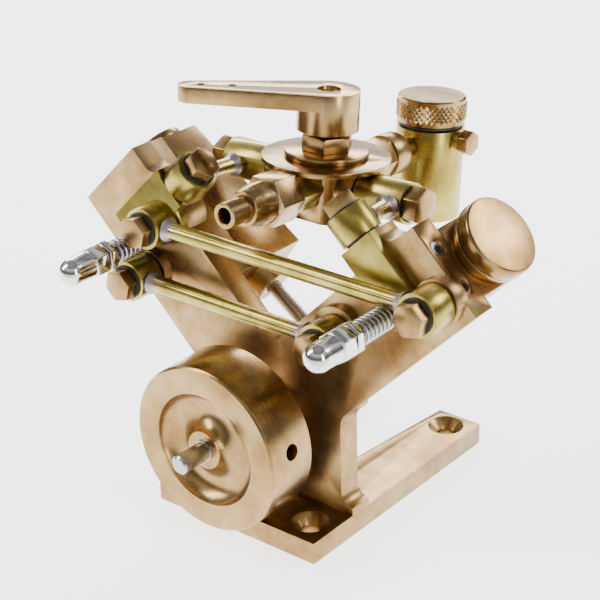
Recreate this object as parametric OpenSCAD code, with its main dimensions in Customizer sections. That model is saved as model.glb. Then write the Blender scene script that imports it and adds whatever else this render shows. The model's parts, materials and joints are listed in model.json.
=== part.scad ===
// Model steam engine: two oscillating cylinders on a V frame, one crank.
// Millimetres. X to the right, Y to the back, Z up.
// Origin: centre of the four base holes, on the underside of the base.

/* [Base and frame] */
// Width of the base across the front
base_width = 38; // [36:1:44]
// Thickness of the base plate
base_thickness = 4.4; // [3.4:0.2:6]
// Depth of the base from front to back
base_depth = 54.5; // [52:0.5:60]
// Distance between the base holes along X
hole_spacing_x = 27.6; // [26.5:0.1:29]
// Distance between the base holes along Y
hole_spacing_y = 44.4; // [42:0.1:46]
// Diameter of the base holes
base_hole_d = 3.5; // [2.5:0.1:4.2]
// Thickness of the V plate
plate_thickness = 5; // [4:0.25:5.5]
// Half width of each arm
arm_half_width = 9.25; // [8.5:0.25:10]
// Length of each arm from the crank centre
arm_length = 54.65; // [53:0.25:58]

/* [Crank] */
// Height of the crank centre over the underside
crank_height = 21; // [20:0.5:24]
// Throw of the crank
crank_throw = 7;
// Diameter of the crankshaft
shaft_d = 4; // [3:0.5:4.5]
// Diameter of the flywheel
flywheel_d = 32.5; // [28:0.5:34]
// Width of the flywheel rim
flywheel_width = 11.2; // [9:0.2:13]
// Length of shaft that stands out in front of the flywheel
shaft_stub = 6.8; // [4:0.2:9]

/* [Cylinders] */
// Distance from the crank centre to each cylinder pivot
pivot_distance = 40.2;
// Side of the square cylinder block
block_side = 13.8; // [13:0.2:13.8]
// Diameter of the cylinder bore
bore_d = 9.6; // [8:0.2:10]
// Diameter of the piston rod
rod_d = 3; // [2.4:0.2:3]
// Length of the piston
piston_length = 8; // [6:0.5:8.5]
// Diameter of the round cap disc
cap_disc_d = 14.8; // [12:0.2:15]

/* [Steam pipes] */
// Diameter of the steam tubes
tube_d = 3.2; // [2.4:0.2:3.4]
// Diameter of the ring of a banjo fitting
ring_d = 8; // [7:0.2:8.4]
// Width across flats of the M3 heads and nuts
head_af = 5.5; // [5:0.1:5.6]

/* [Valve and lubricator] */
// Diameter of the valve body
valve_body_d = 13.2; // [12:0.2:14]
// Diameter of the valve flange
valve_flange_d = 24; // [20:0.5:25]
// Length of the control lever between centres
lever_length = 23.3; // [18:0.1:26]
// Diameter of the lubricator body
lubricator_d = 13.6; // [12:0.2:14]
// Height of the knurled lubricator cap
lubricator_cap_height = 4.8; // [4:0.2:7]

/* [Clearances] */
// Radial gap of a running fit
run_gap = 0.05; // [0.03:0.01:0.1]
// Radial gap of a part that is screwed or pressed in
fixed_gap = 0.02;
// Gap between the cylinder face and the plate
face_gap = 0.1;

/* [Hidden] */
$fn = 64;
bronze = [0.78, 0.56, 0.38];
brass = [0.80, 0.68, 0.33];
steel = [0.60, 0.60, 0.61];
chrome = [0.84, 0.85, 0.87];
rubber = [0.05, 0.05, 0.05];

base_front_y = -27.8;
plate_front_y = -16;
plate_rear_y = plate_front_y + plate_thickness;
column_half = 16.4;
foot_half = 19;
base_hole_r = base_hole_d / 2;
csk_r = base_hole_r + 1.85;
gap_front_y = -6;
rail_inner_front = 6.0;
rail_inner_rear = 9.3;

// extra radius of a fillet's circle, so that its arc meets the edges at a clear angle
fillet_bite = 0.02;

// bores of the plate
bearing_r = 4;
stud_r = 1.5;
passage_w = 3.9;
passage_y = plate_front_y + plate_thickness / 2;
passage_r = 1.35;
plug_r = 1.55;

// cylinders, in a frame whose origin is the pivot and whose X runs outwards
rest_lean = atan2(crank_throw, pivot_distance);
left_reach = sqrt(pivot_distance * pivot_distance + crank_throw * crank_throw);
right_reach = pivot_distance - crank_throw;
block_half = block_side / 2;
block_front_y = plate_rear_y + face_gap;
cyl_y = block_front_y + block_half;
block_out = 14.45;
block_in = -17.4;
bore_r = bore_d / 2;
outer_plug = 2;
inner_plug = 2.95;
gland_len = 3.5;
gland_r = 4;
rod_r = rod_d / 2;
eye_to_piston = 38.75;
piston_r = bore_r - run_gap;
eye_r = 3;
eye_t = rod_d - 0.4;
pin_r = 1.5;
eye_y = cyl_y - eye_t / 2;
// the left cylinder stands behind the right one, so that both rods share one crankpin
left_offset = rod_d + 0.2;
disc_front_y = plate_rear_y + 0.4;
disc_rear_y = eye_y - 0.8;
port_r = 0.9;
port_out = 11.5;
port_in = 13.3;

// spring and nuts on the pivot stud
spring_wire_r = 0.32;
spring_r = 2.35;
spring_front_y = plate_front_y - 11.5;
spring_rear_y = plate_front_y - 0.4;
nut_front_y = plate_front_y - 13.6;
acorn_rear_y = plate_front_y - 14;
acorn_front_y = plate_front_y - 17.2;
dome_y = plate_front_y - 21.1;
dome_r = 2.6;

// banjo fittings, stacked along their own axis from the seat outwards
boss_height = 2;
washer_t = 0.45;
ring_len = 5.3;
head_len = 2.4;
ring_r = ring_d / 2;
shank_r = 1.5;
washer_r = 3.35;
tube_r = tube_d / 2;
seat_y = plate_front_y - boss_height;
ring_mid = washer_t + ring_len / 2;
upper_z = 54.6;
lower_z = 42.6;
ru = [38.6, upper_z];
lu = [-23.2, upper_z];
ll = [-28.0, lower_z];
rl = [17.3, lower_z];
lug_s0 = 39.5;
lug_s1 = 47.6;
lug_w = 13.1;
inner_s = 43;
inner_y = plate_front_y + 1.5;

// valve and lubricator, in a frame tilted back about the line of the side fittings
valve_y = 1.8;
valve_z = 62.3;
valve_tilt = 5;
body_r = valve_body_d / 2;
flange_r = valve_flange_d / 2;
side_ring_r = 3.9;
side_z = -1;
inlet_z = -0.8;
lub_z = -0.3;
drain_z = 0.9;
flange_z = 3;
flange_top = 3.95;
right_ring = [9.2, 19.5];
left_ring = [11.6, 21.9];
left_tap = 18.6;
right_tap = 16.6;
lever_turn = 38;
lub_y = 33.8;
lub_r = lubricator_d / 2;
lub_top = 2.9;
lub_bottom = -15.5;
cap_base = 3.9;
wheel_rear_y = plate_front_y - 8;
wheel_front_y = wheel_rear_y - flywheel_width;
wheel_r = flywheel_d / 2;
shaft_r = shaft_d / 2;
stub_r = shaft_r - 0.2;
shaft_front_y = wheel_front_y - shaft_stub;
grub_y = (wheel_front_y + wheel_rear_y) / 2;
grub_turn = 9;

// ---------- placing helpers ----------

// cylinder along Y between two heights, at (x, z)
module ycyl(r, y0, y1, x = 0, z = 0) {
  translate([x, y0, z]) rotate([-90, 0, 0]) cylinder(h = y1 - y0, r = r);
}

module ycone(ra, rb, y0, y1, x = 0, z = 0) {
  translate([x, y0, z]) rotate([-90, 0, 0]) cylinder(h = y1 - y0, r1 = ra, r2 = rb);
}

module xcyl(r, x0, x1, y = 0, z = 0) {
  translate([x0, y, z]) rotate([0, 90, 0]) cylinder(h = x1 - x0, r = r);
}

module zcyl(r, z0, z1, x = 0, y = 0) {
  translate([x, y, z0]) cylinder(h = z1 - z0, r = r);
}

// hexagon across flats af, along Y
module yhex(af, y0, y1, x = 0, z = 0, turn = 0) {
  translate([x, y0, z]) rotate([-90, turn, 0])
    cylinder(h = y1 - y0, r = af / 2 / cos(30), $fn = 6);
}

// straight rod between two points
module rod_between(p, q, r) {
  d = q - p;
  len = norm(d);
  translate(p) rotate([0, acos(d[2] / len), atan2(d[1], d[0])]) cylinder(h = len, r = r);
}

// arm frame: X runs out along the arm, Z across it towards the inside
module right_arm() {
  translate([0, 0, crank_height]) rotate([0, -45, 0]) children();
}

module left_arm() {
  mirror([1, 0, 0]) right_arm() children();
}

// cylinder frame: origin at the pivot, X outwards along the bore
module right_cyl() {
  right_arm() translate([pivot_distance, 0, 0]) children();
}

module left_cyl() {
  left_arm() translate([pivot_distance, 0, 0]) rotate([0, rest_lean, 0]) children();
}

module left_back() {
  left_cyl() translate([0, left_offset, 0]) children();
}

// frame of the valve: tilted back about a line along X
module valve_frame() {
  translate([0, valve_y, valve_z]) rotate([-valve_tilt, 0, 0]) children();
}

// seat frame of an inner banjo: Z leaves the lug
module right_inner_seat() {
  right_arm() translate([inner_s, inner_y, lug_w]) children();
}

module left_inner_seat() {
  left_arm() translate([inner_s, inner_y, lug_w]) children();
}

// front seat frame: Z leaves the boss towards the front
module front_seat(p) {
  translate([p[0], seat_y, p[1]]) rotate([90, 0, 0]) children();
}

// ---------- base and frame ----------

module base_outline() {
  back_y = base_front_y + base_depth;
  h = base_width / 2;
  difference() {
    translate([-h, base_front_y]) square([base_width, base_depth]);
    polygon([[-rail_inner_front, gap_front_y], [rail_inner_front, gap_front_y],
      [rail_inner_rear, back_y + 1], [-rail_inner_rear, back_y + 1]]);
    translate([-h, back_y]) corner_cut(2);
  }
}

// rounds a convex corner, for the back left end of the rail
module corner_cut(r) {
  difference() {
    translate([-r, -r]) square([2 * r, 2 * r]);
    translate([r, -r]) circle(r = r);
    translate([r, -2 * r]) square([2 * r, 4 * r]);
  }
}

module base_plate() {
  color(bronze) difference() {
    linear_extrude(height = base_thickness) base_outline();
    for (x = [-1, 1]) for (y = [-1, 1]) {
      translate([x * hole_spacing_x / 2, y * hole_spacing_y / 2, 0]) {
        translate([0, 0, -1]) cylinder(h = base_thickness + 2, r = base_hole_r);
        translate([0, 0, base_thickness - (csk_r - base_hole_r)])
          cylinder(h = csk_r - base_hole_r, r1 = base_hole_r, r2 = csk_r);
        translate([0, 0, base_thickness - 0.001]) cylinder(h = 1, r = csk_r);
      }
    }
    for (x = [-9.5, 9.5]) {
      frame_screw_shape(x, fixed_gap);
    }
  }
}

// countersunk screw from below that holds the V plate on the base
module frame_screw_shape(x, g) {
  y = (plate_front_y + plate_rear_y) / 2;
  zcyl(1.25 + g, -0.2 * sign(g), 11 + g, x, y);
  translate([x, y, 0]) cylinder(h = 1.4, r1 = 2.6 + g, r2 = 1.25 + g);
  if (g > 0) zcyl(2.6 + g, -1, 0.001, x, y);
}

module frame_screws() {
  color(steel) for (x = [-9.5, 9.5]) {
    difference() {
      frame_screw_shape(x, 0);
      translate([x, (plate_front_y + plate_rear_y) / 2, -0.5])
        cylinder(h = 1.6, r = 0.9, $fn = 6);
    }
  }
}

// corner web of a fillet between the column and the outer edge of an arm
module armpit() {
  r = 5;
  k = crank_height - arm_half_width * sqrt(2);
  zc = k + column_half + r - r * sqrt(2);
  difference() {
    polygon([[column_half - 1, zc], [column_half - 1, zc + r * sin(45)],
      [column_half + r - r * cos(45), zc + r * sin(45)], [column_half + r, zc]]);
    translate([column_half + r, zc]) circle(r = r + fillet_bite);
  }
}

module foot() {
  r = 2.6;
  top = base_thickness + 1.6;
  translate([0, base_thickness]) square([foot_half, 1.6]);
  difference() {
    translate([column_half - 1, top - 0.5]) square([r + 1, r + 0.5]);
    translate([column_half + r, top + r]) circle(r = r + fillet_bite);
  }
}

module v_outline_half() {
  translate([0, base_thickness]) square([column_half, 12]);
  polygon([[0, base_thickness + 6], [column_half, base_thickness + 6],
    [column_half, crank_height - arm_half_width * sqrt(2) + column_half], [0, crank_height + 12]]);
  translate([0, crank_height]) rotate(45) difference() {
    union() {
      translate([0, -arm_half_width]) square([arm_length, 2 * arm_half_width]);
      translate([lug_s0, 0]) square([lug_s1 - lug_s0, lug_w]);
      difference() {
        translate([lug_s1 - 0.5, arm_half_width - 0.5]) square([3.5, 3.5]);
        translate([lug_s1 + 3, arm_half_width + 3]) circle(r = 3 + fillet_bite);
      }
    }
    translate([-20, -30]) square([20, 60]);
  }
  armpit();
  foot();
}

module v_outline() {
  v_z = crank_height + arm_half_width * sqrt(2);
  t = 4 * sin(45);
  difference() {
    union() {
      v_outline_half();
      mirror([1, 0]) v_outline_half();
      difference() {
        polygon([[-t, v_z + t], [0, v_z - 2], [t, v_z + t], [0, v_z + 2 * t]]);
        translate([0, v_z + 4 * sqrt(2)]) circle(r = 4 + fillet_bite);
      }
    }
    translate([-60, -50]) square([120, 50 + base_thickness]);
  }
}

module front_boss(p, r) {
  ycyl(r, seat_y, plate_front_y + 1, p[0], p[1]);
}

module front_bolt_hole(p) {
  ycyl(shank_r + run_gap, seat_y - 1, passage_y + 0.35, p[0], p[1]);
}

// drillings of one arm: pivot hole, two long passages and four face ports
module arm_drillings(rear) {
  ycyl(stud_r + 0.06, plate_front_y - 5, rear + 1, pivot_distance, 0);
  for (w = [-passage_w, passage_w]) {
    xcyl(passage_r, 25.5, arm_length - 3, passage_y, w);
    xcyl(plug_r, arm_length - 5, arm_length + 1, passage_y, w);
  }
  for (a = [-rest_lean, rest_lean]) {
    translate([pivot_distance, 0, 0]) rotate([0, a, 0]) {
      ycyl(port_r, passage_y - 0.25, rear + 1, port_out, 0);
      ycyl(port_r, passage_y - 0.25, rear + 1, -port_in, 0);
    }
  }
}

// raises the seat of the left cylinder
module rear_pad() {
  w = arm_half_width - 0.2;
  translate([24, plate_rear_y - 0.5, -w])
    cube([arm_length - 24.2, left_offset + 0.5, 2 * w]);
}

module v_frame() {
  color(bronze) difference() {
    union() {
      translate([0, plate_rear_y, 0]) rotate([90, 0, 0])
        linear_extrude(height = plate_thickness) v_outline();
      front_boss(ru, 4.4);
      front_boss(ll, 4.4);
      front_boss(rl, 5.2);
      ycyl(4.6, plate_front_y, plate_rear_y, lu[0], lu[1]);
      left_arm() rear_pad();
    }
    ycyl(bearing_r + fixed_gap, plate_front_y - 1, plate_rear_y + 1, 0, crank_height);
    right_arm() arm_drillings(plate_rear_y);
    left_arm() arm_drillings(plate_rear_y + left_offset);
    for (p = [ru, lu, ll, rl]) front_bolt_hole(p);
    right_inner_seat() zcyl(shank_r + run_gap, -10, 1);
    left_inner_seat() zcyl(shank_r + run_gap, -10, 1);
    for (x = [-9.5, 9.5]) frame_screw_shape(x, fixed_gap);
  }
}

module port_block_shape() {
  translate([lug_s0, plate_front_y - boss_height, -3])
    cube([lug_s1 - lug_s0, boss_height - 0.01, lug_w + 3]);
}

module right_port_block() {
  color(brass) difference() {
    right_arm() port_block_shape();
    right_inner_seat() zcyl(shank_r + run_gap, -10, 1);
    right_arm() ycyl(spring_r + 0.35, plate_front_y - 5, plate_front_y + 1, pivot_distance, 0);
    ycyl(4.5, plate_front_y - 5, plate_front_y + 1, ru[0], ru[1]);
  }
}

module left_port_block() {
  color(brass) difference() {
    union() {
      left_arm() port_block_shape();
      ycyl(4.6, seat_y, plate_front_y - 0.01, lu[0], lu[1]);
    }
    left_inner_seat() zcyl(shank_r + run_gap, -10, 1);
    left_arm() ycyl(spring_r + 0.35, plate_front_y - 5, plate_front_y + 1, pivot_distance, 0);
    ycyl(4.5, plate_front_y - 5, plate_front_y + 1, ll[0], ll[1]);
    front_bolt_hole(lu);
  }
}

module plug() {
  difference() {
    xcyl(1.53, arm_length - 4.6, arm_length - 0.3, passage_y, 0);
    translate([arm_length - 2, passage_y, 0]) rotate([0, 90, 0])
      cylinder(h = 3, r = 0.87, $fn = 6);
  }
}

module passage_plugs() {
  color(steel) {
    for (w = [-passage_w, passage_w]) {
      right_arm() translate([0, 0, w]) plug();
      left_arm() translate([0, 0, w]) plug();
    }
  }
}

// ---------- steam pipes ----------

// ring of a banjo fitting, from its washer upwards, with the steam groove inside
module ring_shape() {
  difference() {
    zcyl(ring_r, washer_t, washer_t + ring_len);
    zcyl(shank_r + run_gap, 0, washer_t + ring_len + 1);
    zcyl(2.5, ring_mid - 1.4, ring_mid + 1.4);
  }
}

module bolt_shape(len) {
  h0 = 2 * washer_t + ring_len;
  zcyl(shank_r, -len, h0 + 0.5);
  difference() {
    translate([0, 0, h0]) rotate(15) cylinder(h = head_len, r = head_af / 2 / cos(30), $fn = 6);
    bolt_chamfer(h0 + head_len, head_af / 2);
  }
}

// cone that takes the corners off the top of a hexagon head
module bolt_chamfer(top, r) {
  difference() {
    zcyl(r + 2, top - 0.8, top + 1);
    translate([0, 0, top - 0.9]) cylinder(h = 1, r1 = r + 1.7, r2 = r + 0.0);
  }
}

module washer_pair() {
  for (z = [0.01, washer_t + ring_len + 0.01]) {
    difference() {
      zcyl(washer_r, z, z + washer_t - 0.02);
      zcyl(shank_r + run_gap, z - 1, z + 1);
    }
  }
}

function front_mid(p) = [p[0], seat_y - ring_mid, p[1]];
function arm_mid(side) = [side * (inner_s - lug_w - ring_mid) / sqrt(2), inner_y,
  crank_height + (inner_s + lug_w + ring_mid) / sqrt(2)];
function toward(p, q, d) = p + (q - p) * d / norm(q - p);
function valve_point(x) = [x, valve_y + side_z * sin(valve_tilt),
  valve_z + side_z * cos(valve_tilt)];

module front_tube(a, b, r, d) {
  rod_between(toward(a, b, d), toward(b, a, d), r);
}

module upper_left_ring() {
  color(brass) difference() {
    front_seat(lu) ring_shape();
    front_tube(front_mid(lu), front_mid(ru), tube_r + fixed_gap, 1);
  }
}

module upper_right_ring() {
  color(brass) difference() {
    front_seat(ru) ring_shape();
    front_tube(front_mid(lu), front_mid(ru), tube_r + fixed_gap, 1);
  }
}

module lower_left_ring() {
  color(brass) difference() {
    front_seat(ll) ring_shape();
    front_tube(front_mid(ll), front_mid(rl), tube_r + fixed_gap, 1);
  }
}

module lower_right_ring() {
  color(brass) difference() {
    front_seat(rl) ring_shape();
    front_tube(front_mid(ll), front_mid(rl), tube_r + fixed_gap, 1);
  }
}

module left_inlet_ring() {
  color(brass) difference() {
    left_inner_seat() ring_shape();
    front_tube(arm_mid(-1), valve_point(-left_tap), tube_r + fixed_gap, 1);
  }
}

module right_inlet_ring() {
  color(brass) difference() {
    right_inner_seat() ring_shape();
    front_tube(arm_mid(1), valve_point(right_tap), tube_r + fixed_gap, 1);
  }
}

module banjo_bolts() {
  color(bronze) {
    for (p = [ru, ll, rl, lu]) front_seat(p) bolt_shape(2.8);
    right_inner_seat() bolt_shape(6);
    left_inner_seat() bolt_shape(6);
  }
}

module sealing_washers() {
  color(rubber) {
    for (p = [ru, ll, rl, lu]) front_seat(p) washer_pair();
    right_inner_seat() washer_pair();
    left_inner_seat() washer_pair();
    side_washer(right_ring[0] - 0.28, 1);
    side_washer(right_ring[1] + 0.02, 1);
    side_washer(left_ring[0] - 0.28, -1);
    side_washer(left_ring[1] + 0.02, -1);
  }
}

module side_washer(x, side) {
  valve_side(side) difference() {
    xcyl(3.4, x, x + 0.26);
    xcyl(shank_r + run_gap, x - 1, x + 1);
  }
}

// tube with its solder collars; it enters each ring and stops short of the bolt
module soldered_tube(a, b, ra, rb) {
  front_tube(a, b, tube_r, 3);
  solder(a, b, ra);
  solder(b, a, rb);
}

module solder(a, b, r) {
  p = toward(a, b, r + 0.12);
  q = toward(a, b, r + 1.7);
  d = q - p;
  len = norm(d);
  translate(p) rotate([0, acos(d[2] / len), atan2(d[1], d[0])])
    cylinder(h = len, r1 = tube_r + 0.75, r2 = tube_r - 0.05);
}

module upper_cross_tube() {
  color(brass) soldered_tube(front_mid(lu), front_mid(ru), ring_r, ring_r);
}

module lower_cross_tube() {
  color(brass) soldered_tube(front_mid(ll), front_mid(rl), ring_r, ring_r);
}

module left_valve_pipe() {
  color(brass) soldered_tube(arm_mid(-1), valve_point(-left_tap), 4.35, 4.35);
}

module right_valve_pipe() {
  color(brass) soldered_tube(arm_mid(1), valve_point(right_tap), 4.35, 4.35);
}

// ---------- valve ----------

// side frame: X leaves the valve body on the given side
module valve_side(side) {
  valve_frame() translate([0, 0, side_z]) mirror([side < 0 ? 1 : 0, 0, 0]) children();
}

module side_ring_shape(span) {
  mid = span == right_ring ? right_tap : left_tap;
  difference() {
    xcyl(side_ring_r, span[0], span[1]);
    xcyl(shank_r + run_gap, span[0] - 1, span[1] + 1);
    xcyl(2.5, mid - 1.5, mid + 1.5);
  }
}

module left_valve_ring() {
  color(brass) difference() {
    valve_side(-1) side_ring_shape(left_ring);
    front_tube(arm_mid(-1), valve_point(-left_tap), tube_r + fixed_gap, 1);
  }
}

module right_valve_ring() {
  color(brass) difference() {
    valve_side(1) side_ring_shape(right_ring);
    front_tube(arm_mid(1), valve_point(right_tap), tube_r + fixed_gap, 1);
  }
}

module side_bolt(span) {
  xcyl(shank_r, 6, span[1] + 1);
  translate([span[1] + 0.3, 0, 0]) rotate([0, 90, 0]) difference() {
    cylinder(h = 2.9, r = 6.4 / 2 / cos(30), $fn = 6);
    bolt_chamfer(2.9, 3.2);
  }
}

module valve_bolts() {
  color(bronze) {
    valve_side(1) side_bolt(right_ring);
    valve_side(-1) side_bolt(left_ring);
  }
}

module valve_body() {
  color(bronze) valve_frame() difference() {
    union() {
      zcyl(body_r, -7.5, flange_z + 0.1);
      zcyl(flange_r, flange_z, flange_top);
      xcyl(4.2, 0, right_ring[0] - 0.3, 0, side_z);
      mirror([1, 0, 0]) xcyl(4.2, 0, left_ring[0] - 0.3, 0, side_z);
      ycyl(4.2, 0, 9, 0, side_z);
    }
    zcyl(4, -5, flange_top + 1);
    translate([-6, -9, -8]) cube([12, 10 - body_r, flange_z + 7.9]);
    ycyl(2.5, -9, 0, 0, inlet_z);
    ycyl(2.5, 0, 10, 0, lub_z);
    xcyl(shank_r + run_gap, -20, 20, 0, side_z);
  }
}

// cover disc with the threaded neck of the gland
module valve_cover() {
  color(bronze) valve_frame() difference() {
    union() {
      zcyl(7.9, flange_top + 0.02, flange_top + 1.3);
      zcyl(3.95, 2.6, flange_top + 0.1);
      zcyl(3.2, flange_top + 1.2, flange_top + 3.45);
    }
    zcyl(1.6 + run_gap, 0, 9);
  }
}

module gland_nut() {
  z = flange_top + 1.32;
  color(bronze) valve_frame() difference() {
    translate([0, 0, z]) cylinder(h = 2.9, r = 5, $fn = 6);
    zcyl(3.2 + fixed_gap, z - 1, z + 2.18);
    zcyl(1.6 + run_gap, z - 1, z + 4);
    bolt_chamfer(z + 2.9, 4.33);
  }
}

// plug of the valve and the spindle that carries the lever
module valve_spindle() {
  color(steel) valve_frame() {
    difference() {
      zcyl(4 - run_gap, -4.5, 2.2);
      xcyl(1.3, -5, 5, 0, side_z);
    }
    zcyl(1.6, 2, 15.7);
  }
}

module control_lever() {
  color(bronze) valve_frame() rotate(180 + lever_turn) difference() {
    union() {
      zcyl(5.8, 9, 16.5);
      translate([0, 0, 13.5]) linear_extrude(height = 3) lever_outline();
    }
    zcyl(1.6 + fixed_gap, 8, 18);
    zcyl(0.75, 12, 18, lever_length, 0);
    zcyl(0.75, 12, 18, lever_length - 5.7, 0);
    zcyl(2.2, 15.8, 18);
  }
}

// tapered arm with tangent sides between the hub and the tip
module lever_outline() {
  tip = 2.6;
  hub = 5.8;
  a = asin((hub - tip) / lever_length);
  circle(r = hub);
  translate([lever_length + 1.6, 0]) circle(r = tip);
  polygon([[hub * sin(a), hub * cos(a)], [lever_length + 1.6 + tip * sin(a), tip * cos(a)],
    [lever_length + 1.6 + tip * sin(a), -tip * cos(a)], [hub * sin(a), -hub * cos(a)]]);
}

module inlet_adaptor() {
  color(brass) valve_frame() difference() {
    union() {
      yhex(7, -11.5, 0.98 - body_r, 0, inlet_z, 0);
      ycyl(2.45, -7, -4.2, 0, inlet_z);
      ycyl(2.9, -17, -11.4, 0, inlet_z);
    }
    ycyl(1.3, -18, -3, 0, inlet_z);
  }
}

module union_nut() {
  color(bronze) valve_frame() difference() {
    union() {
      yhex(8.6, -18.2, -12.1, 0, inlet_z, 0);
      ycyl(3.9, -20.5, -18.1, 0, inlet_z);
      ycone(3.2, 3.9, -23.7, -20.5, 0, inlet_z);
    }
    ycyl(2.35 + run_gap, -24, -15, 0, inlet_z);
    ycyl(2.95, -17.1, -11, 0, inlet_z);
    ycyl(3.4, -18.9, -17.05, 0, inlet_z);
  }
}

// nozzle with the collar that the union nut pulls against the adaptor
module inlet_nozzle() {
  color(bronze) valve_frame() difference() {
    union() {
      ycyl(2.35, -28.6, -17.1, 0, inlet_z);
      ycyl(3.3, -18.7, -17.1, 0, inlet_z);
    }
    ycyl(1.5, -29, -17, 0, inlet_z);
  }
}

// ---------- lubricator ----------

module lubricator_fitting() {
  color(bronze) valve_frame() difference() {
    union() {
      ycyl(2.45, 7, 14, 0, lub_z);
      yhex(7, 12.5, 17.5, 0, lub_z, 0);
      ycyl(4.2, 17.5, 21.5, 0, lub_z);
      ycyl(1.7, 21.4, lub_y - 5.2, 0, lub_z);
    }
    ycyl(1.1, 6, lub_y, 0, lub_z);
  }
}

module lubricator_body() {
  color(brass) valve_frame() difference() {
    union() {
      zcyl(lub_r, lub_bottom, lub_top, 0, lub_y);
      xcyl(1.8, 0, lub_r + 1, lub_y, drain_z);
    }
    zcyl(5, lub_bottom + 1.6, lub_top + 1, 0, lub_y);
    ycyl(1.72, lub_y - 12, lub_y, 0, lub_z);
    xcyl(1 + run_gap, 3, 12, lub_y, drain_z);
  }
}

module lubricator_cap() {
  color(bronze) valve_frame() difference() {
    union() {
      zcyl(lub_r + 0.2, cap_base, cap_base + lubricator_cap_height - 0.4, 0, lub_y);
      translate([0, lub_y, cap_base + lubricator_cap_height - 0.4])
        cylinder(h = 0.4, r1 = lub_r + 0.2, r2 = lub_r - 0.2);
      zcyl(4.95, -0.5, cap_base + 0.1, 0, lub_y);
    }
    zcyl(3.6, -2, cap_base + 2, 0, lub_y);
  }
}

module cap_ring() {
  color(rubber) valve_frame() translate([0, lub_y, (lub_top + cap_base) / 2])
    rotate_extrude() translate([5.9, 0]) circle(r = (cap_base - lub_top) / 2 - 0.02);
}

module drain_screw() {
  color(bronze) valve_frame() {
    xcyl(1, 5.2, lub_r + 1.5, lub_y, drain_z);
    translate([lub_r + 1.05, lub_y, drain_z]) rotate([0, 90, 0])
      cylinder(h = 2.2, r = 2.5, $fn = 6);
  }
}

// ---------- crank ----------

module main_bearing() {
  color(bronze) difference() {
    union() {
      ycyl(bearing_r, plate_front_y - 0.1, plate_rear_y, 0, crank_height);
      ycyl(5.4, plate_front_y - 1.4, plate_front_y - 0.02, 0, crank_height);
    }
    ycyl(shaft_r + run_gap, plate_front_y - 3, plate_rear_y + 1, 0, crank_height);
  }
}

module crankshaft() {
  color(steel) {
    ycyl(shaft_r, wheel_front_y - 0.2, disc_rear_y - 0.3, 0, crank_height);
    ycyl(stub_r, shaft_front_y + 0.4, wheel_front_y, 0, crank_height);
    ycone(stub_r - 0.4, stub_r, shaft_front_y, shaft_front_y + 0.4, 0, crank_height);
  }
}

// the crankpin stands along the right arm at rest
module crank_turn() {
  translate([0, 0, crank_height]) rotate([0, -45, 0]) children();
}

module crank_disc() {
  color(steel) crank_turn() difference() {
    ycyl(crank_throw + pin_r + 1.6, disc_front_y, disc_rear_y);
    ycyl(shaft_r + fixed_gap, disc_front_y - 1, disc_rear_y + 1);
    ycyl(pin_r + fixed_gap, disc_front_y - 1, disc_rear_y + 1, crank_throw, 0);
  }
}

module crankpin() {
  color(steel) crank_turn() ycyl(pin_r, disc_front_y + 0.1, eye_y - 0.3, crank_throw, 0);
}

// front face with a round groove between the rim and the hub
module flywheel() {
  rim_in = wheel_r - 5.1;
  hub = 3.6;
  gr = (rim_in - hub) / 2;
  color(bronze) translate([0, 0, crank_height]) difference() {
    union() {
      ycyl(wheel_r, wheel_front_y + 0.4, wheel_rear_y - 0.4);
      ycone(wheel_r - 0.4, wheel_r, wheel_front_y, wheel_front_y + 0.4);
      ycone(wheel_r, wheel_r - 0.4, wheel_rear_y - 0.4, wheel_rear_y);
      ycyl(5, wheel_rear_y - 0.1, wheel_rear_y + 2);
    }
    ycyl(shaft_r + fixed_gap, wheel_front_y - 1, wheel_rear_y + 3);
    translate([0, wheel_front_y, 0]) rotate([90, 0, 0]) rotate_extrude()
      translate([(rim_in + hub) / 2, 0.8]) circle(r = gr);
    rotate([0, -grub_turn, 0]) xcyl(1.55, 1, wheel_r + 1, grub_y, 0);
  }
}

module flywheel_grub() {
  color(steel) translate([0, 0, crank_height]) rotate([0, -grub_turn, 0]) difference() {
    xcyl(1.52, shaft_r + 0.1, shaft_r + 5.1, grub_y, 0);
    translate([shaft_r + 3, grub_y, 0]) rotate([0, 90, 0]) cylinder(h = 3, r = 0.87, $fn = 6);
  }
}

// ---------- one cylinder, in its own frame ----------

module block_shape() {
  difference() {
    translate([block_in, block_front_y, -block_half])
      cube([block_out - block_in, block_side, block_side]);
    xcyl(bore_r, block_in - 1, block_out + 1, cyl_y, 0);
    ycyl(port_r, block_front_y - 1, cyl_y, port_out, 0);
    ycyl(port_r, block_front_y - 1, cyl_y, -port_in, 0);
    ycyl(stud_r + fixed_gap, block_front_y - 1, block_front_y + 1.9, 0, 0);
  }
}

module outer_cap_shape() {
  xcyl(bore_r - fixed_gap, block_out - outer_plug, block_out + 0.1, cyl_y, 0);
  xcyl(block_half, block_out + 0.01, block_out + 1.6, cyl_y, 0);
  xcyl(block_half - 0.7, block_out + 1.5, block_out + 2.2, cyl_y, 0);
  xcyl(cap_disc_d / 2, block_out + 2.15, block_out + 4.85, cyl_y, 0);
  translate([block_out + 4.85, cyl_y, 0]) rotate([0, 90, 0])
    cylinder(h = 0.3, r1 = cap_disc_d / 2, r2 = cap_disc_d / 2 - 0.3);
}

// the left cap is a thin disc without the round knob
module thin_cap_shape() {
  xcyl(bore_r - fixed_gap, block_out - outer_plug, block_out + 0.1, cyl_y, 0);
  xcyl(block_half, block_out + 0.01, block_out + 1.5, cyl_y, 0);
}

module inner_cap_shape() {
  difference() {
    union() {
      xcyl(bore_r - fixed_gap, block_in, block_in + inner_plug, cyl_y, 0);
      xcyl(gland_r, block_in - gland_len, block_in + 0.1, cyl_y, 0);
    }
    xcyl(rod_r + run_gap, block_in - gland_len - 1, block_in + inner_plug + 1, cyl_y, 0);
  }
}

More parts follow.
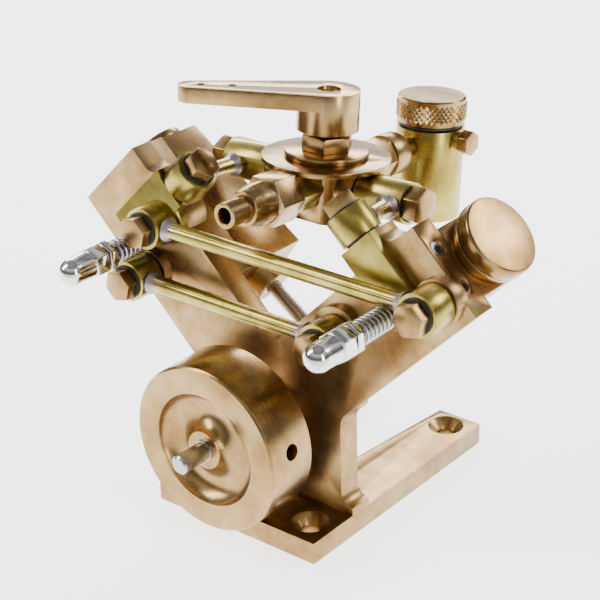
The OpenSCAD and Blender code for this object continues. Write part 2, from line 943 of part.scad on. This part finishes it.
module piston_shape(reach) {
  c = eye_to_piston - reach;
  difference() {
    xcyl(piston_r, c - piston_length / 2, c + piston_length / 2, cyl_y, 0);
    xcyl(rod_r - 0.4 + fixed_gap, c - piston_length / 2 - 1, c + piston_length / 2 + 1, cyl_y, 0);
    for (d = [-1.8, 1.0]) difference() {
      xcyl(piston_r + 1, c + d, c + d + 0.8, cyl_y, 0);
      xcyl(piston_r - 0.5, c + d - 1, c + d + 2, cyl_y, 0);
    }
  }
}

// rod with its big end
module rod_shape(reach) {
  c = eye_to_piston - reach;
  difference() {
    union() {
      xcyl(rod_r, -reach + 3.6, c - piston_length / 2 - 0.02, cyl_y, 0);
      xcyl(rod_r - 0.4, -reach + 4, c + piston_length / 2, cyl_y, 0);
      ycyl(eye_r, eye_y, eye_y + eye_t, -reach, 0);
      translate([-reach, eye_y, -1.6]) cube([5.2, eye_t, 3.2]);
    }
    ycyl(pin_r + run_gap, eye_y - 1, eye_y + eye_t + 1, -reach, 0);
  }
}

module stud_shape(back) {
  ycyl(stud_r, acorn_front_y - 1.5, block_front_y + back + 1.8, 0, 0);
}

// plain sleeve in the place of the coiled wire
module spring_shape() {
  difference() {
    ycyl(spring_r, spring_front_y, spring_rear_y, 0, 0);
    ycyl(spring_r - 2 * spring_wire_r, spring_front_y - 1, spring_rear_y + 1, 0, 0);
  }
}

module spring_nut_shape() {
  difference() {
    union() {
      yhex(head_af, nut_front_y, nut_front_y + 1.5, 0, 0, 10);
      ycyl(2.6, nut_front_y + 1.4, spring_front_y - 0.02, 0, 0);
    }
    ycyl(stud_r + fixed_gap, nut_front_y - 1, spring_front_y + 1, 0, 0);
  }
}

module acorn_shape() {
  difference() {
    union() {
      yhex(head_af, acorn_front_y, acorn_rear_y, 0, 0, 10);
      ycyl(dome_r, dome_y, acorn_front_y + 0.1, 0, 0);
      translate([0, dome_y, 0]) sphere(r = dome_r);
    }
    ycyl(stud_r + fixed_gap, acorn_front_y - 1.6, acorn_rear_y + 1, 0, 0);
  }
}

module right_cylinder() { color(bronze) right_cyl() block_shape(); }
module right_outer_cap() { color(bronze) right_cyl() outer_cap_shape(); }
module right_inner_cap() { color(bronze) right_cyl() inner_cap_shape(); }
module right_piston() { color(steel) right_cyl() piston_shape(right_reach); }
module right_piston_rod() { color(steel) right_cyl() rod_shape(right_reach); }
module right_stud() { color(steel) right_cyl() stud_shape(0); }
module right_spring() { color(chrome) right_cyl() spring_shape(); }
module right_spring_nut() { color(chrome) right_cyl() spring_nut_shape(); }
module right_acorn_nut() { color(chrome) right_cyl() acorn_shape(); }

module left_cylinder() { color(bronze) left_back() block_shape(); }
module left_outer_cap() { color(bronze) left_back() thin_cap_shape(); }
module left_inner_cap() { color(bronze) left_back() inner_cap_shape(); }
module left_piston() { color(steel) left_back() piston_shape(left_reach); }
module left_piston_rod() { color(steel) left_back() rod_shape(left_reach); }
module left_stud() { color(steel) left_cyl() stud_shape(left_offset); }
module left_spring() { color(chrome) left_cyl() spring_shape(); }
module left_spring_nut() { color(chrome) left_cyl() spring_nut_shape(); }
module left_acorn_nut() { color(chrome) left_cyl() acorn_shape(); }

base_plate();
v_frame();
frame_screws();
left_port_block();
right_port_block();
passage_plugs();
upper_left_ring();
upper_right_ring();
lower_left_ring();
lower_right_ring();
left_inlet_ring();
right_inlet_ring();
banjo_bolts();
sealing_washers();
upper_cross_tube();
lower_cross_tube();
left_valve_pipe();
right_valve_pipe();
left_valve_ring();
right_valve_ring();
valve_bolts();
valve_body();
valve_cover();
gland_nut();
valve_spindle();
control_lever();
inlet_adaptor();
union_nut();
inlet_nozzle();
lubricator_fitting();
lubricator_body();
lubricator_cap();
cap_ring();
drain_screw();
main_bearing();
crankshaft();
crank_disc();
crankpin();
flywheel();
flywheel_grub();
right_cylinder();
right_outer_cap();
right_inner_cap();
right_piston();
right_piston_rod();
right_stud();
right_spring();
right_spring_nut();
right_acorn_nut();
left_cylinder();
left_outer_cap();
left_inner_cap();
left_piston();
left_piston_rod();
left_stud();
left_spring();
left_spring_nut();
left_acorn_nut();
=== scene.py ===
"""Looks of a small two-cylinder model steam engine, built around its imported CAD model. Metres, Z up."""

import json
import math

import bpy
from mathutils import Matrix, Vector

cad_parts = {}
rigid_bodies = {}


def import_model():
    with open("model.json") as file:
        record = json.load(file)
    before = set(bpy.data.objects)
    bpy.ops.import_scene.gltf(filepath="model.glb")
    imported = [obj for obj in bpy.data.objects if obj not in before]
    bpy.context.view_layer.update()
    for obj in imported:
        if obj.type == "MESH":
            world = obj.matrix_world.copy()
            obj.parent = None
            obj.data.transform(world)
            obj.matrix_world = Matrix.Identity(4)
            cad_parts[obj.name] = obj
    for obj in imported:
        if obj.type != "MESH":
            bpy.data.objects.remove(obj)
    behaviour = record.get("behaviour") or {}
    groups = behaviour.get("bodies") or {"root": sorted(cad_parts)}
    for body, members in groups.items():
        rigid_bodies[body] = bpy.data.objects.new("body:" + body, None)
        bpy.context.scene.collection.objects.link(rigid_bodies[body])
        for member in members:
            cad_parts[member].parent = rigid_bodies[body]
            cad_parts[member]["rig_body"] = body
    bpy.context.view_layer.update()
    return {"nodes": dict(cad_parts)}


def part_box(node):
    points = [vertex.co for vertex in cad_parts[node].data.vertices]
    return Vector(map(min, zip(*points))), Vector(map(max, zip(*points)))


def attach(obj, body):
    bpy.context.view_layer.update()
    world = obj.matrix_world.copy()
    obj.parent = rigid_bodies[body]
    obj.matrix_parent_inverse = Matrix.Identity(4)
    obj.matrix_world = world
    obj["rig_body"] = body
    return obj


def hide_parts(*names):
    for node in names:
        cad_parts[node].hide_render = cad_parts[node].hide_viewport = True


MM = 0.001

# places taken over from the CAD model, in millimetres
CRANK_HEIGHT = 21.0
CRANK_THROW = 7.0
PIVOT_DISTANCE = 40.2
CYLINDER_AXIS_Y = -4.0
LEFT_CYLINDER_AXIS_Y = -0.8
VALVE_ORIGIN = Vector((0, 1.8, 62.3))
VALVE_TILT = math.radians(5)
LUBRICATOR_Y = 33.8
UP = Vector((0, math.sin(VALVE_TILT), math.cos(VALVE_TILT)))
BACK = Vector((0, math.cos(VALVE_TILT), -math.sin(VALVE_TILT)))
HALF_ROOT = math.sqrt(0.5)
RIGHT_ARM = Vector((HALF_ROOT, 0, HALF_ROOT))
TUBE_RADIUS = 1.6
SPRING_WIRE_RADIUS = 0.32
SPRING_TURNS = 9
KNURL_POINTS = 84
KNURL_ROWS = 6
CAP_HEIGHT = 4.8
CAP_BOTTOM = 3.9
CRANK = Vector((0, 0, CRANK_HEIGHT))
CRANKPIN = CRANK + CRANK_THROW * RIGHT_ARM
RIGHT_PIVOT = CRANK + PIVOT_DISTANCE * RIGHT_ARM
LEFT_PIVOT = Vector((-RIGHT_PIVOT.x, 0, RIGHT_PIVOT.z))
LEFT_AXIS = (LEFT_PIVOT - CRANKPIN).normalized()


def valve_point(x, y, z):
    """A place in the tilted frame of the valve, as a place in the row frame, in millimetres."""
    return VALVE_ORIGIN + Vector((x, 0, 0)) + y * BACK + z * UP


# ---------- editing ----------


def only(obj):
    """Selects one object and nothing else."""
    bpy.ops.object.select_all(action="DESELECT")
    obj.select_set(True)
    bpy.context.view_layer.objects.active = obj
    return obj


def apply_modifier(obj, kind, **settings):
    only(obj)
    modifier = obj.modifiers.new(kind.title(), kind)
    for key, value in settings.items():
        setattr(modifier, key, value)
    bpy.ops.object.modifier_apply(modifier=modifier.name)


def settle(obj, name, body, material, slot, *nodes, smooth=35):
    """Bakes the piece's place into its mesh, names it and hands it to its body."""
    only(obj)
    bpy.ops.object.transform_apply(location=True, rotation=True, scale=True)
    bpy.ops.object.shade_smooth_by_angle(angle=math.radians(smooth))
    obj.name = obj.data.name = name
    obj.data.materials.clear()
    obj.data.materials.append(material)
    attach(obj, body)
    if nodes:
        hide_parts(*nodes)
    return obj


def softened(node, material, slot, edge=0.15, segments=2):
    """A copy of a CAD node with its sharp edges broken by a small round."""
    source = frame["nodes"][node]
    obj = source.copy()
    obj.data = source.data.copy()
    for key in list(obj.keys()):
        del obj[key]
    obj.parent = None
    bpy.context.scene.collection.objects.link(obj)
    only(obj)
    bpy.ops.object.mode_set(mode="EDIT")
    bpy.ops.mesh.select_all(action="SELECT")
    bpy.ops.mesh.remove_doubles(threshold=0.002 * MM)
    bpy.ops.mesh.dissolve_limited(angle_limit=math.radians(0.6))
    bpy.ops.object.mode_set(mode="OBJECT")
    apply_modifier(
        obj,
        "BEVEL",
        width=edge * MM,
        segments=segments,
        limit_method="ANGLE",
        angle_limit=math.radians(40),
        harden_normals=False,
        miter_outer="MITER_SHARP",
    )
    return settle(obj, node + "_soft", source["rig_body"], material, slot, node)


# ---------- materials ----------


class Wire:
    """A shader socket that adds Math nodes when it is used in an expression."""

    def __init__(self, sheet, socket):
        self.sheet = sheet
        self.socket = socket

    def _math(self, operation, a, b=None):
        inputs = {0: a} if b is None else {0: a, 1: b}
        return self.sheet.add("ShaderNodeMath", {"operation": operation}, inputs)

    def __add__(self, other):
        return self._math("ADD", self, other)

    def __sub__(self, other):
        return self._math("SUBTRACT", self, other)

    def __mul__(self, other):
        return self._math("MULTIPLY", self, other)

    __radd__ = __add__
    __rmul__ = __mul__


class Sheet:
    """One material and its node tree."""

    def __init__(self, name, colour, roughness, metallic=1.0):
        self.material = bpy.data.materials.new(name)
        self.material.use_nodes = True
        self.tree = self.material.node_tree
        self.shader = self.tree.nodes["Principled BSDF"]
        self.shader.inputs["Base Color"].default_value = (*colour, 1)
        self.shader.inputs["Roughness"].default_value = roughness
        self.shader.inputs["Metallic"].default_value = metallic
        self.place = self.add("ShaderNodeTexCoord", output="Object")

    def add(self, kind, settings=None, inputs=None, output=0):
        node = self.tree.nodes.new(kind)
        for key, value in (settings or {}).items():
            if key == "stops":
                self._set_stops(node.color_ramp, value)
            else:
                setattr(node, key, value)
        for key, value in (inputs or {}).items():
            self.feed(node.inputs[key], value)
        return Wire(self, node.outputs[output])

    def _set_stops(self, ramp, stops):
        ramp.elements[0].position, ramp.elements[0].color = stops[0][0], (*stops[0][1], 1)
        ramp.elements[1].position, ramp.elements[1].color = stops[-1][0], (*stops[-1][1], 1)
        for position, colour in stops[1:-1]:
            ramp.elements.new(position).color = (*colour, 1)

    def feed(self, socket, value):
        if isinstance(value, Wire):
            self.tree.links.new(value.socket, socket)
        elif isinstance(value, tuple) and len(value) == 3 and socket.type == "RGBA":
            socket.default_value = (*value, 1)
        else:
            socket.default_value = value

    def output(self, socket_name, value):
        self.feed(self.shader.inputs[socket_name], value)

    def mix(self, factor, a, b):
        return self.add(
            "ShaderNodeMix",
            {"data_type": "RGBA"},
            {0: factor, 6: a, 7: b},
            output=2,
        )

    def noise(self, scale, detail=3, rough=0.55, vector=None):
        return self.add(
            "ShaderNodeTexNoise",
            inputs={"Vector": vector or self.place, "Scale": scale, "Detail": detail, "Roughness": rough},
        )

    def stretched(self, scale):
        """Object coordinates scaled differently along each axis, for brushed marks."""
        return self.add("ShaderNodeMapping", inputs={"Vector": self.place, "Scale": scale}, output=0)

    def turned(self, centre, axis):
        """Distance from an axis and place along it, both in millimetres."""
        shifted = self.add(
            "ShaderNodeVectorMath",
            {"operation": "SUBTRACT"},
            {0: self.place, 1: tuple(MM * c for c in centre)},
        )
        along = self.add(
            "ShaderNodeVectorMath", {"operation": "DOT_PRODUCT"}, {0: shifted, 1: tuple(axis)}, output=1
        )
        length = self.add("ShaderNodeVectorMath", {"operation": "LENGTH"}, {0: shifted}, output=1)
        squared = length * length - along * along
        radius = self.add("ShaderNodeMath", {"operation": "SQRT", "use_clamp": False}, {0: squared + 1e-12})
        return radius * 1000, along * 1000

    def clamp(self, value, low, high):
        return self.add(
            "ShaderNodeMapRange", {"clamp": True}, {"Value": value, "From Min": low, "From Max": high}
        )

    def bump(self, height, strength, distance):
        self.output(
            "Normal",
            self.add(
                "ShaderNodeBump", inputs={"Height": height, "Strength": strength, "Distance": distance * MM}
            ),
        )


BRONZE = (0.33, 0.205, 0.080)
BRONZE_PALE = (0.44, 0.30, 0.145)
BRONZE_DARK = (0.22, 0.12, 0.040)
BRASS = (0.37, 0.29, 0.065)
BRASS_PALE = (0.50, 0.42, 0.13)
BRASS_DARK = (0.24, 0.17, 0.035)
STEEL = (0.42, 0.41, 0.40)
CHROME = (0.72, 0.71, 0.70)
SOLDER = (0.36, 0.31, 0.32)


def tinted(sheet, colours, cloud_scale=160):
    """Slow, cloudy change between a dark, a plain and a pale tone of one metal."""
    cloud = sheet.noise(cloud_scale, 4, 0.6)
    dark, plain, pale = colours
    return sheet.add(
        "ShaderNodeValToRGB", {"stops": [(0.30, dark), (0.5, plain), (0.72, pale)]}, {"Fac": cloud}
    )


def milled(name, colours, roughness, stretch=(900, 9000, 900), depth=0.012):
    """Flat milled metal: cloudy tone and fine straight cutter marks."""
    sheet = Sheet(name, colours[1], roughness)
    marks = sheet.noise(1.0, 2, 0.5, sheet.stretched(stretch))
    stain = sheet.noise(420, 5, 0.65)
    sheet.output("Base Color", tinted(sheet, colours))
    sheet.output("Roughness", roughness - 0.07 + 0.12 * marks + 0.10 * stain)
    sheet.bump(marks, 0.35, depth)
    return sheet.material


def lathe_cut(name, colours, roughness, centre, axis, pitch=9.0, depth=0.010):
    """Turned metal: rings round the axis on the faces, and bands along it on the rim."""
    sheet = Sheet(name, colours[1], roughness)
    radius, along = sheet.turned(centre, axis)
    rings = sheet.add(
        "ShaderNodeTexNoise",
        {"noise_dimensions": "1D"},
        {"W": (radius + 0.73 * along) * pitch, "Scale": 1.0, "Detail": 3.0},
    )
    stain = sheet.noise(300, 4, 0.6)
    sheet.output("Base Color", tinted(sheet, colours, 110))
    sheet.output("Roughness", roughness - 0.08 + 0.14 * rings + 0.06 * stain)
    sheet.bump(rings, 0.5, depth)
    return sheet.material


def plated(name, colour, roughness):
    """Bright plated or polished hard metal with faint marks."""
    sheet = Sheet(name, colour, roughness)
    marks = sheet.noise(1500, 3, 0.6)
    sheet.output("Roughness", roughness - 0.04 + 0.10 * marks)
    return sheet.material


def rubbery(name):
    sheet = Sheet(name, (0.012, 0.012, 0.013), 0.5, 0.0)
    grain = sheet.noise(2500, 3, 0.6)
    sheet.output("Roughness", 0.42 + 0.2 * grain)
    sheet.bump(grain, 0.2, 0.01)
    return sheet.material


def soldered_tube(name, start, end):
    """Drawn brass tube with grey solder on the collar at each end and heat colour beside it."""
    sheet = Sheet(name, BRASS, 0.3)
    axis = (end - start).normalized()
    radius, along = sheet.turned(start, axis)
    length = (end - start).length
    ragged = 0.35 * sheet.noise(900, 3, 0.6)
    collar = sheet.clamp(radius + 0.1 * ragged, TUBE_RADIUS + 0.06, TUBE_RADIUS + 0.14)
    middle = sheet.add("ShaderNodeMath", {"operation": "ABSOLUTE"}, {0: along - length / 2})
    heat = sheet.clamp(middle + 6 * ragged, length / 2 - 7.5, length / 2 - 4.2)
    marks = sheet.noise(1.0, 2, 0.5, sheet.stretched((120, 2600, 2600)))
    tone = tinted(sheet, (BRASS_DARK, BRASS, BRASS_PALE))
    warm = sheet.mix(heat * 0.55, tone, (0.50, 0.34, 0.26))
    sheet.output("Base Color", sheet.mix(collar, warm, SOLDER))
    sheet.output("Roughness", 0.22 + 0.1 * marks + 0.2 * collar)
    sheet.bump(marks + collar * sheet.noise(1400, 2, 0.5), 0.3, 0.02)
    return sheet.material


bronze_tones = (BRONZE_DARK, BRONZE, BRONZE_PALE)
brass_tones = (BRASS_DARK, BRASS, BRASS_PALE)

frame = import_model()

milled_bronze = milled("milled_bronze", bronze_tones, 0.30)
base_bronze = milled("base_bronze", bronze_tones, 0.28, (9000, 700, 700))
block_bronze = milled("block_bronze", bronze_tones, 0.24, (700, 9000, 700))
port_brass = milled("port_brass", brass_tones, 0.34, (900, 900, 6000))
ring_brass = milled("ring_brass", brass_tones, 0.26, (600, 4000, 600))
bolt_bronze = milled("bolt_bronze", bronze_tones, 0.26, (2500, 2500, 2500))
steel_dark = plated("steel_dark", (0.20, 0.20, 0.21), 0.32)
steel_bright = plated("steel_bright", STEEL, 0.24)
chrome = plated("chrome", CHROME, 0.10)
spring_steel = plated("spring_steel", (0.46, 0.46, 0.47), 0.26)
rubber = rubbery("rubber")

wheel_bronze = lathe_cut("wheel_bronze", bronze_tones, 0.24, CRANK, Vector((0, 1, 0)), 7.0, 0.012)
valve_bronze = lathe_cut("valve_bronze", bronze_tones, 0.22, VALVE_ORIGIN, UP, 8.0)
cap_axis_point = valve_point(0, LUBRICATOR_Y, 0)
cap_bronze = lathe_cut("cap_bronze", bronze_tones, 0.24, cap_axis_point, UP, 9.0)
lubricator_brass = lathe_cut("lubricator_brass", brass_tones, 0.26, cap_axis_point, UP, 7.0)
inlet_bronze = lathe_cut("inlet_bronze", bronze_tones, 0.22, valve_point(0, 0, -0.8), BACK, 9.0)
right_cap_bronze = lathe_cut(
    "right_cap_bronze", bronze_tones, 0.22, RIGHT_PIVOT + Vector((0, CYLINDER_AXIS_Y, 0)), RIGHT_ARM, 9.0
)
left_cap_bronze = lathe_cut(
    "left_cap_bronze", bronze_tones, 0.22, LEFT_PIVOT + Vector((0, LEFT_CYLINDER_AXIS_Y, 0)), LEFT_AXIS, 9.0
)

# ---------- CAD pieces with softened edges ----------

softened("base_plate", base_bronze, "bronze", 0.2)
softened("v_frame", milled_bronze, "bronze", 0.2)
softened("left_port_block", port_brass, "brass", 0.15)
softened("right_port_block", port_brass, "brass", 0.15)
for side in ("left", "right"):
    softened(side + "_cylinder", block_bronze, "bronze", 0.2)
    softened(side + "_inner_cap", block_bronze, "bronze", 0.15)
    softened(side + "_piston_rod", steel_bright, "steel", 0.12)
    softened(side + "_spring_nut", chrome, "chrome", 0.1)
    softened(side + "_acorn_nut", chrome, "chrome", 0.12)
    softened(side + "_inlet_ring", ring_brass, "brass", 0.12)
    softened(side + "_valve_ring", ring_brass, "brass", 0.2)
    for level in ("upper", "lower"):
        softened(level + "_" + side + "_ring", ring_brass, "brass", 0.15)
softened("right_outer_cap", right_cap_bronze, "bronze", 0.15)
softened("left_outer_cap", left_cap_bronze, "bronze", 0.15)
softened("banjo_bolts", bolt_bronze, "bronze", 0.12)
softened("valve_bolts", bolt_bronze, "bronze", 0.12)
softened("valve_body", valve_bronze, "bronze", 0.12)
softened("valve_cover", valve_bronze, "bronze", 0.12)
softened("gland_nut", valve_bronze, "bronze", 0.15)
softened("control_lever", valve_bronze, "bronze", 0.2)
softened("union_nut", inlet_bronze, "bronze", 0.15)
softened("inlet_nozzle", inlet_bronze, "bronze", 0.1)
softened("inlet_adaptor", ring_brass, "brass", 0.12)
softened("lubricator_fitting", bolt_bronze, "bronze", 0.12)
softened("lubricator_body", lubricator_brass, "brass", 0.15)
softened("drain_screw", bolt_bronze, "bronze", 0.12)
softened("main_bearing", wheel_bronze, "bronze", 0.12)
softened("flywheel", wheel_bronze, "bronze", 0.2)
softened("crank_disc", steel_bright, "steel", 0.15)

for node, material in {
    "frame_screws": steel_dark,
    "passage_plugs": steel_bright,
    "flywheel_grub": steel_dark,
    "crankshaft": steel_bright,
    "crankpin": steel_bright,
    "valve_spindle": steel_bright,
    "right_stud": steel_bright,
    "left_stud": steel_bright,
    "right_piston": steel_bright,
    "left_piston": steel_bright,
    "sealing_washers": rubber,
    "cap_ring": rubber,
}.items():
    frame["nodes"][node].data.materials.clear()
    frame["nodes"][node].data.materials.append(material)


def front_ring(x, z):
    return Vector((x, -21.1, z))


def arm_ring(side):
    s, w = 43.0, 13.1 + 3.1
    return Vector((side * (s - w) * HALF_ROOT, -14.5, CRANK_HEIGHT + (s + w) * HALF_ROOT))


tube_ends = {
    "upper_cross_tube": (front_ring(-23.2, 54.6), front_ring(38.6, 54.6)),
    "lower_cross_tube": (front_ring(-28.0, 42.6), front_ring(17.3, 42.6)),
    "left_valve_pipe": (arm_ring(-1), valve_point(-18.6, 0, -1)),
    "right_valve_pipe": (arm_ring(1), valve_point(16.6, 0, -1)),
}
for node, (start, end) in tube_ends.items():
    softened(node, soldered_tube(node + "_metal", start, end), "brass", 0.05)

# ---------- springs ----------


def coil_spring(side, pivot):
    """A wire of round section wound round the pivot stud."""
    low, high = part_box(side + "_spring")
    wire, length = SPRING_WIRE_RADIUS * MM, high.y - low.y
    coil_radius = (high.x - low.x) / 2 - wire
    bpy.ops.object.select_all(action="DESELECT")
    bpy.ops.mesh.primitive_circle_add(
        vertices=12, radius=wire, location=(coil_radius, 0, 0), rotation=(math.pi / 2, 0, 0)
    )
    obj = bpy.context.object
    only(obj)
    bpy.ops.object.transform_apply(location=True, rotation=True, scale=True)
    pitch = (length - 2 * wire) / SPRING_TURNS
    apply_modifier(
        obj, "SCREW", axis="Z", angle=2 * math.pi, screw_offset=pitch, iterations=SPRING_TURNS, steps=28,
        render_steps=28, use_merge_vertices=True,
    )
    only(obj)
    bpy.ops.object.mode_set(mode="EDIT")
    bpy.ops.mesh.select_all(action="DESELECT")
    bpy.ops.mesh.select_non_manifold()
    bpy.ops.mesh.edge_face_add()
    bpy.ops.mesh.select_all(action="SELECT")
    bpy.ops.mesh.normals_make_consistent(inside=False)
    bpy.ops.object.mode_set(mode="OBJECT")
    obj.rotation_euler = (math.pi / 2, 0, 0)
    obj.location = (pivot.x * MM, high.y - wire, pivot.z * MM)
    return settle(obj, side + "_coil", side + "_rock", spring_steel, "chrome", side + "_spring", smooth=60)


coil_spring("right", RIGHT_PIVOT)
coil_spring("left", LEFT_PIVOT)

# ---------- knurled cap ----------


def knurled_cap():
    """Turned cap with a diamond knurl round its rim and a chamfered, turned top."""
    radius, height, bottom = 6.78 * MM, CAP_HEIGHT * MM, CAP_BOTTOM * MM
    bpy.ops.object.select_all(action="DESELECT")
    bpy.ops.mesh.primitive_cylinder_add(vertices=KNURL_POINTS, radius=radius, depth=height)
    obj = only(bpy.context.object)
    knurl(obj, KNURL_POINTS, KNURL_ROWS, height)
    crown(obj)
    place = Matrix.Translation(MM * cap_axis_point) @ Matrix.Rotation(-VALVE_TILT, 4, "X")
    obj.matrix_world = place @ Matrix.Translation((0, 0, bottom + height / 2))
    return settle(obj, "knurled_cap", "cap", cap_bronze, "bronze", "lubricator_cap", smooth=18)


def knurl(obj, around, rows, height):
    """Cuts the side into rings and raises every second point, so that diamonds stand between grooves."""
    plain = 0.5 * MM
    row = (height - 2 * plain) / rows
    bpy.ops.object.mode_set(mode="EDIT")
    for k in range(rows + 1):
        bpy.ops.mesh.select_all(action="SELECT")
        bpy.ops.mesh.bisect(plane_co=(0, 0, plain - height / 2 + k * row), plane_no=(0, 0, 1))
    bpy.ops.mesh.select_mode(type="VERT")
    bpy.ops.mesh.select_all(action="DESELECT")
    bpy.ops.object.mode_set(mode="OBJECT")
    for vertex in obj.data.vertices:
        ring = round((vertex.co.z + height / 2 - plain) / row)
        step = round(math.atan2(vertex.co.y, vertex.co.x) * around / math.tau)
        vertex.select = 0 < ring < rows and (ring + step) % 2 == 0
    bpy.ops.object.mode_set(mode="EDIT")
    bpy.ops.transform.resize(value=(1.036, 1.036, 1), center_override=(0, 0, 0))
    bpy.ops.mesh.select_mode(type="FACE")
    bpy.ops.mesh.select_all(action="DESELECT")
    bpy.ops.object.mode_set(mode="OBJECT")
    for face in obj.data.polygons:
        face.select = abs(face.normal.z) < 0.9 and abs(face.center.z) < height / 2 - plain
    bpy.ops.object.mode_set(mode="EDIT")
    bpy.ops.mesh.quads_convert_to_tris(quad_method="SHORTEST_DIAGONAL")
    bpy.ops.object.mode_set(mode="OBJECT")


def crown(obj):
    """Sloping rim and flat middle of the top."""
    only(obj)
    bpy.ops.object.mode_set(mode="EDIT")
    bpy.ops.mesh.select_all(action="DESELECT")
    bpy.ops.object.mode_set(mode="OBJECT")
    for face in obj.data.polygons:
        face.select = face.normal.z > 0.9
    bpy.ops.object.mode_set(mode="EDIT")
    bpy.ops.mesh.inset(thickness=0.35 * MM, depth=0.3 * MM)
    bpy.ops.mesh.inset(thickness=0.5 * MM, depth=0)
    bpy.ops.object.mode_set(mode="OBJECT")


knurled_cap()

# ---------- studio ----------


def studio():
    """White floor that glows a little less on the near side, a dim banded sky and four soft boxes."""
    bpy.ops.object.select_all(action="DESELECT")
    bpy.ops.mesh.primitive_plane_add(size=6, location=(0, 0, -0.0002))
    floor = bpy.context.object
    floor.name = "floor"
    sheet = Sheet("floor_white", (0.95, 0.95, 0.95), 0.7, 0.0)
    to_back_left = (-0.633, 0.774, 0)
    away = sheet.add(
        "ShaderNodeVectorMath",
        {"operation": "DOT_PRODUCT"},
        {0: sheet.place, 1: to_back_left},
        output=1,
    )
    sheet.output("Emission Color", sheet.mix(sheet.clamp(away, -0.16, -0.05), (0.3, 0.3, 0.3), (1, 1, 1)))
    sheet.output("Emission Strength", 2.6)
    floor.data.materials.append(sheet.material)

    world = bpy.context.scene.world or bpy.data.worlds.new("studio")
    bpy.context.scene.world = world
    world.use_nodes = True
    tree = world.node_tree
    tree.nodes.clear()
    place = tree.nodes.new("ShaderNodeTexCoord")
    parts = tree.nodes.new("ShaderNodeSeparateXYZ")
    ramp = tree.nodes.new("ShaderNodeValToRGB")
    light = tree.nodes.new("ShaderNodeBackground")
    out = tree.nodes.new("ShaderNodeOutputWorld")
    tree.links.new(place.outputs["Generated"], parts.inputs[0])
    tree.links.new(parts.outputs["Z"], ramp.inputs["Fac"])
    tree.links.new(ramp.outputs[0], light.inputs["Color"])
    tree.links.new(light.outputs[0], out.inputs["Surface"])
    ramp.color_ramp.elements[0].position = 0.0
    ramp.color_ramp.elements[0].color = (1.6, 1.6, 1.6, 1)
    ramp.color_ramp.elements[1].position = 0.95
    ramp.color_ramp.elements[1].color = (0.35, 0.35, 0.36, 1)
    for position, grey in ((0.10, 0.14), (0.30, 0.16), (0.50, 0.45), (0.70, 0.9), (0.82, 0.2)):
        ramp.color_ramp.elements.new(position).color = (grey, grey, grey, 1)
    light.inputs["Strength"].default_value = 1.0

    def soft_box(name, place, target, size, power):
        lamp = bpy.data.lights.new(name, "AREA")
        lamp.shape = "RECTANGLE"
        lamp.size, lamp.size_y = size
        lamp.energy = power
        obj = bpy.data.objects.new(name, lamp)
        obj.location = place
        obj.rotation_euler = (Vector(target) - Vector(place)).to_track_quat("-Z", "Y").to_euler()
        bpy.context.scene.collection.objects.link(obj)

    middle_point = (0, 0, 0.04)
    soft_box("key", (-0.45, -0.35, 0.50), middle_point, (0.22, 0.5), 4)
    soft_box("right_fill", (0.65, -0.15, 0.30), middle_point, (0.14, 0.5), 2.5)
    soft_box("back_low", (-0.46, 0.56, 0.36), middle_point, (0.8, 0.16), 6)
    soft_box("back_right", (0.36, 0.58, 0.48), middle_point, (0.3, 0.25), 3)


def camera():
    """Camera at the viewing angle that the shape of the base and of the V plate gives."""
    yaw, pitch, roll = 0.686, 0.449, -0.026
    forward = Vector(
        (-math.sin(yaw) * math.cos(pitch), math.cos(yaw) * math.cos(pitch), -math.sin(pitch))
    )
    level = Vector((math.cos(yaw), math.sin(yaw), 0))
    upright = level.cross(forward)
    right = math.cos(roll) * level + math.sin(roll) * upright
    up = math.cos(roll) * upright - math.sin(roll) * level
    turn = Matrix((right, up, -forward)).transposed().to_4x4()
    lens = bpy.data.cameras.new("camera")
    lens.lens, lens.sensor_width = 105.1, 36
    lens.clip_start, lens.clip_end = 0.01, 20
    obj = bpy.data.objects.new("camera", lens)
    obj.matrix_world = Matrix.Translation((0.1871, -0.2352, 0.1823)) @ turn
    bpy.context.scene.collection.objects.link(obj)
    bpy.context.scene.camera = obj


studio()
camera()
